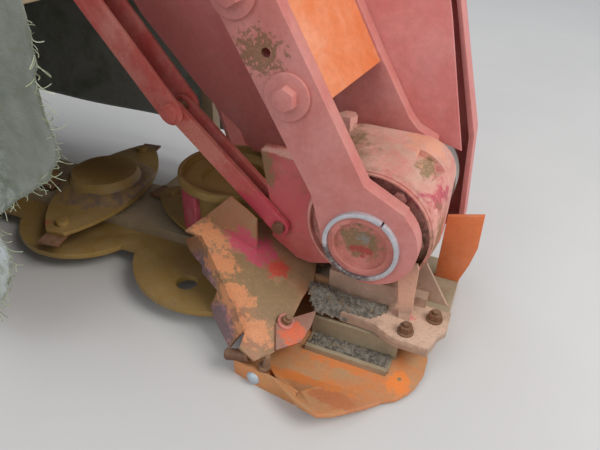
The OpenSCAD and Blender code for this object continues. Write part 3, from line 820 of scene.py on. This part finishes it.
class MOWER_OT_stage(bpy.types.Operator):
    """Pale floor, soft light and the camera"""
    bl_idname = "mower.stage"
    bl_label = "Stage"

    def execute(self, context):
        scene = context.scene
        settings = scene.mower_stage
        scene.view_settings.view_transform = "Standard"
        bm = bmesh.new()
        bmesh.ops.create_grid(bm, x_segments=1, y_segments=1, size=14)
        mesh = bpy.data.meshes.new("floor")
        bm.to_mesh(mesh)
        bm.free()
        floor = bpy.data.objects.new("floor", mesh)
        scene.collection.objects.link(floor)
        ground = bpy.data.materials.new("pale_floor")
        ground.use_nodes = True
        s = Shade(ground.node_tree)
        surface = next(n for n in ground.node_tree.nodes if n.type == "BSDF_PRINCIPLED")
        coords = s.node("ShaderNodeTexCoord").outputs["Object"]
        cloud = s.noise(coords, 2.2, 6, 0.6)
        tone = tuple(settings.floor)
        s.put(surface.inputs["Base Color"], s.mix(cloud, tuple(c * 0.93 for c in tone),
                                                  tuple(min(1, c * 1.06) for c in tone)))
        surface.inputs["Roughness"].default_value = 0.85
        mesh.materials.append(ground)
        world = bpy.data.worlds.new("soft_sky")
        world.use_nodes = True
        world.node_tree.nodes["Background"].inputs[0].default_value = (0.93, 0.95, 1.0, 1)
        world.node_tree.nodes["Background"].inputs[1].default_value = 0.62
        scene.world = world
        for name, place, size, power, hue in (
                ("window", (3.4, -0.6, 3.0), 2.2, 95, (1.0, 0.97, 0.93)),
                ("fill", (-0.6, -3.2, 2.6), 3.0, 42, (0.96, 0.98, 1.0)),
                ("back", (-1.5, 3.0, 3.2), 2.5, 34, (0.97, 0.98, 1.0))):
            lamp = bpy.data.lights.new(name, "AREA")
            lamp.shape = "DISK"
            lamp.size = size
            lamp.energy = power * settings.lamp
            lamp.color = hue
            holder = bpy.data.objects.new(name, lamp)
            scene.collection.objects.link(holder)
            holder.location = place
            holder.rotation_euler = (at(-100, 0, 250) - holder.location).to_track_quat(
                "-Z", "Y").to_euler()
        self.camera(scene)
        return {"FINISHED"}

    def camera(self, scene):
        turn, tilt, roll = (math.radians(a) for a in CAMERA_ANGLES)
        back = Vector((math.sin(turn) * math.cos(tilt), -math.cos(turn) * math.cos(tilt),
                       math.sin(tilt)))
        up = Vector((-math.sin(turn) * math.sin(tilt), math.cos(turn) * math.sin(tilt),
                     math.cos(tilt)))
        right = up.cross(back)
        leant = right * math.cos(roll) + up * math.sin(roll)
        risen = up * math.cos(roll) - right * math.sin(roll)
        lens = bpy.data.cameras.new("camera")
        lens.sensor_width = SENSOR_WIDTH
        lens.lens = FOCAL_SHARE * SENSOR_WIDTH
        lens.clip_start = 0.02
        camera = bpy.data.objects.new("camera", lens)
        scene.collection.objects.link(camera)
        camera.matrix_world = Matrix.Translation(at(*CAMERA_AT)) @ Matrix(
            (leant, risen, back)).transposed().to_4x4()
        scene.camera = camera


class MOWER_OT_cutter_bar(Dressing, bpy.types.Operator):
    """Bar, skids, stone guards and hubs"""
    bl_idname = "mower.cutter_bar"
    bl_label = "Cutter bar"
    plain = (("bar_bed", "iron"), ("bar_skids", "iron"), ("ledge_rails", "iron"),
             ("disc_hubs", "rusty"))
    worn = (("stone_guards", "disc", 0.0015),)


class MOWER_OT_discs(Dressing, bpy.types.Operator):
    """Mowing discs, drum, vanes and knives"""
    bl_idname = "mower.discs"
    bl_label = "Discs"
    plain = (("cone_5", "disc"),)
    worn = (*((kind + str(i), finish, edge) for i in range(1, 6)
              for kind, finish, edge in (("disc_", "disc", 0.0015), ("knives_", "rusty", 0.0008))),
            ("drum_1", "disc", 0.002), ("drum_vanes", "vane_red", 0.0015))


class MOWER_OT_inner_end(Dressing, bpy.types.Operator):
    """Inner shoe, deflector sheet, brackets and gravel"""
    bl_idname = "mower.inner_end"
    bl_label = "Inner end"
    worn = (("inner_shoe", "shoe", 0.0018), ("deflector", "sheet_red"),
            *((node, finish, 0.001) for node, finish in (
                ("corner_bracket", "corner"), ("side_bracket", "orange"),
                ("outer_shoe", "orange"), ("swath_board", "orange"))))

    def add(self, sizes):
        mound("trough_gravel", TROUGH, TROUGH_FLOOR, 7, "ledge_rails", sizes, 0)
        mound("foot_gravel", FOOT_HEAP, heap_base, 17, "gearbox_base", sizes, 4)
        bm = bmesh.new()
        screw(bm, (-102, -278, 12), (-88, -284, 68), 5, 1.9)
        hexagon(bm, at(-98, -280.5, 32), Vector((0.25, -0.1, 1)).normalized(), 0.019, 0.009)
        to_piece("shoe_stud", bm, "inner_shoe", "rusty")
        bm = bmesh.new()
        screw(bm, (-161, -283, 39), (-118, -286, 57), 9.5, 3.2)
        to_piece("sheet_bolt", bm, "inner_shoe", "rusty")
        head = [(0, 6), (5, 5.4), (9, 3.6), (12, 0.5), (12.6, -3), (0, -3)]
        turned_piece("carriage_head", head, at(-112, -290.5, 13), (-0.12, -1, -0.15), 32,
                     "inner_shoe", "galvanised")
        up = Vector((0.392, -0.172, 0.903)).normalized()
        seat = at(-92, -211, 74)
        washer = [(0, 2.6), (13, 2.6), (14, 1.8), (14, -1), (0, -1)]
        turned_piece("sheet_washer", washer, seat, up, 40, "corner_bracket", "link_red")
        bolts("sheet_bolt_head", [(seat + up * 0.0005, up)], "corner_bracket", 0.015, 0.009, 0.009)


class MOWER_OT_gearbox(Dressing, bpy.types.Operator):
    """Gearbox casting, flange, base and main pins"""
    bl_idname = "mower.gearbox"
    bl_label = "Gearbox"
    plain = (("low_pulley", "steel"),)
    worn = (("gearbox", "cast_red", 0.003, 3), ("gearbox_flange", "cast_red"),
            ("gearbox_base", "base", 0.0025, 3), ("pivot_pins", "pin_red", 0.0015),
            ("lift_lug", "lug_red", 0.0015))


class MOWER_OT_carrying_frame(Dressing, bpy.types.Operator):
    """Frame plates, spacer, bush and large bolts"""
    bl_idname = "mower.carrying_frame"
    bl_label = "Carrying frame"
    worn = (("front_arm", "plate_red", 0.0022, 3), ("rear_arm", "plate_red", 0.0022, 3),
            ("spacer_plate", "orange"), ("pivot_bush", "bush", 0.001), ("arm_washers", "plate_red"),
            ("head_tube", "plate_red", 0.0015), ("lift_bracket", "plate_red", 0.0015))


class MOWER_OT_linkage(Dressing, bpy.types.Operator):
    """Links, pins, channel, rod and barrel of the lift"""
    bl_idname = "mower.linkage"
    bl_label = "Lift linkage"
    worn = (("lift_links", "link_red", 0.002, 3), ("link_pins", "rusty"),
            ("lift_channel", "link_red", 0.0015), ("lift_rod", "steel", 0.001),
            ("lift_barrel", "link_red", 0.0015))


class MOWER_OT_guard(Dressing, bpy.types.Operator):
    """Belt guard, pulleys and drive shaft"""
    bl_idname = "mower.guard"
    bl_label = "Belt guard"
    plain = (("top_pulley", "steel"), ("input_shaft", "steel"))
    worn = (("guard_front", "guard_red"), ("guard_cover", "guard_red"))


class MOWER_OT_headstock(Dressing, bpy.types.Operator):
    """Headstock, mast and hitch pins"""
    bl_idname = "mower.headstock"
    bl_label = "Headstock"
    worn = (("headstock", "plate_red", 0.002), ("mast", "plate_red", 0.0015),
            ("hitch_pins", "steel", 0.001))


class MOWER_OT_cover(Dressing, bpy.types.Operator):
    """Cover frame and hanging curtain"""
    bl_idname = "mower.cover"
    bl_label = "Cover"

    def add(self, sizes):
        wave = sizes.wave / MM
        held = [soften("cover_frame", "iron", 0.0015).name]
        low, high = (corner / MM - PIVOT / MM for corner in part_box("curtain"))
        left = low.x
        front, back = low.y + PIVOT_Y + HALF_CLOTH, high.y + PIVOT_Y - HALF_CLOTH
        top = CLOTH_TOP

        def free_edge(z):
            for (x0, z0), (x1, z1) in zip(CURTAIN_EDGE, CURTAIN_EDGE[1:]):
                if z1 <= z <= z0:
                    return x0 + (x1 - x0) * (z0 - z) / (z0 - z1)
            return CURTAIN_EDGE[-1][0]

        def hanging(u, v):
            z = top - v * (top - FRONT_LOW)
            torn = 5 * noise.noise(Vector((v * 31, 2.5, 0))) + 9 * noise.noise(Vector((v * 7, 7, 1)))
            right = free_edge(z) + torn * min(1, v * 6)
            x = left + u * (right - left)
            bulge = wave * math.sin(x / 58 + 1.3 * math.sin(x / 140)) * min(1, v * 1.6)
            curl = -9 * max(0, 1 - (right - x) / 26) ** 2 * min(1, v * 4)
            ragged = 4 * noise.noise(Vector((x / 6, 0, 3))) if v > 0.99 else 0
            return x, front + 1 + bulge * 0.6 + curl, z + ragged

        def over(u, v):
            x, y = left + u * (TOP_END - left), front + v * (back - front)
            sag = 9 * math.sin(math.pi * v) * abs(math.sin(math.pi * u)) ** 0.6
            return x, y, top - sag + 1.2 * noise.noise(Vector((x / 60, y / 60, 4)))

        def behind(u, v):
            x = left + u * (REAR_END - left)
            fold = wave * 0.6 * math.sin(x / 66) * v
            down = min(1, max(0, (x - left - STEP_START) / STEP_WIDTH))
            low = END_LOW - (END_LOW - REAR_LOW) * down
            return x, back - 1 + fold, top - v * (top - low)

        def far_end(u, v):
            y = front + u * (back - front)
            return left + 2 + wave * 0.5 * math.sin(y / 60) * v, y, top - v * (top - END_LOW)

        hung = cloth_grid("curtain_front", hanging, 190, 72)
        edge = [(hanging(1, i / 150), (1, -0.25 - 0.3 * random.random(), -0.5 + random.random()))
                for i in range(12, 151)]
        edge += [(hanging(i / 240, 1), (random.random() - 0.5, -0.3, -1)) for i in range(241)]
        threads = bolts("curtain_threads", [(at(*p), d) for p, d in edge], "curtain",
                        finish="thread", tree="Frayed threads",
                        values={"Length": sizes.thread_length, "Seed": sizes.seed})
        strip = 4
        area = sum((free_edge(z) - left) * strip for z in range(FRONT_LOW + 2, top, strip))
        cloth_grid("curtain_top", over, 90, 60)
        area = (REAR_END - left) * (top - REAR_LOW)
        area -= (STEP_START + STEP_WIDTH / 2) * (END_LOW - REAR_LOW)
        cloth_grid("curtain_back", behind, 120, 40)
        cloth_grid("curtain_end", far_end, 60, 30)


class MOWER_OT_fasteners(Dressing, bpy.types.Operator):
    """Bolts on the foot of the gearbox base"""
    bl_idname = "mower.fasteners"
    bl_label = "Fasteners"

    def add(self, sizes):
        bolts("foot_bolts", [(at(90, -148, 70), (0, 0, 1)), (at(127, -100, 70), (0, 0, 1))],
              "gearbox_base", sizes.bolt_width, 0.011, 0.0135)


class MOWER_PT_panel(bpy.types.Panel):
    """Buttons that build the dressing piece by piece"""
    bl_label = "Disc mower"
    bl_idname = "MOWER_PT_panel"
    bl_space_type = "VIEW_3D"
    bl_region_type = "UI"
    bl_category = "Mower"

    def draw(self, context):
        for made in OPERATORS:
            self.layout.operator(made.bl_idname)
        for group in (context.scene.mower_sizes, context.scene.mower_colours,
                      context.scene.mower_stage):
            for key in group.bl_rna.properties.keys():
                if key not in ("rna_type", "name"):
                    self.layout.prop(group, key)


OPERATORS = (MOWER_OT_stage, MOWER_OT_cutter_bar, MOWER_OT_discs, MOWER_OT_inner_end,
             MOWER_OT_gearbox, MOWER_OT_carrying_frame, MOWER_OT_linkage, MOWER_OT_guard,
             MOWER_OT_headstock, MOWER_OT_cover, MOWER_OT_fasteners)
GROUPS = {"mower_sizes": MowerSizes, "mower_colours": MowerColours, "mower_stage": StageSettings}


def register():
    for made in (*GROUPS.values(), *OPERATORS, MOWER_PT_panel):
        bpy.utils.register_class(made)
    for key, made in GROUPS.items():
        setattr(bpy.types.Scene, key, PointerProperty(type=made))


def unregister():
    for key in GROUPS:
        delattr(bpy.types.Scene, key)
    for made in reversed((*GROUPS.values(), *OPERATORS, MOWER_PT_panel)):
        bpy.utils.unregister_class(made)


def main():
    register()
    random.seed(bpy.context.scene.mower_sizes.seed)
    build_finishes()
    fastener_tree()
    thread_tree()
    stone_tree()
    for made in OPERATORS:
        group, name = made.bl_idname.split(".")
        getattr(getattr(bpy.ops, group), name)()


if __name__ == "__main__":
    main()
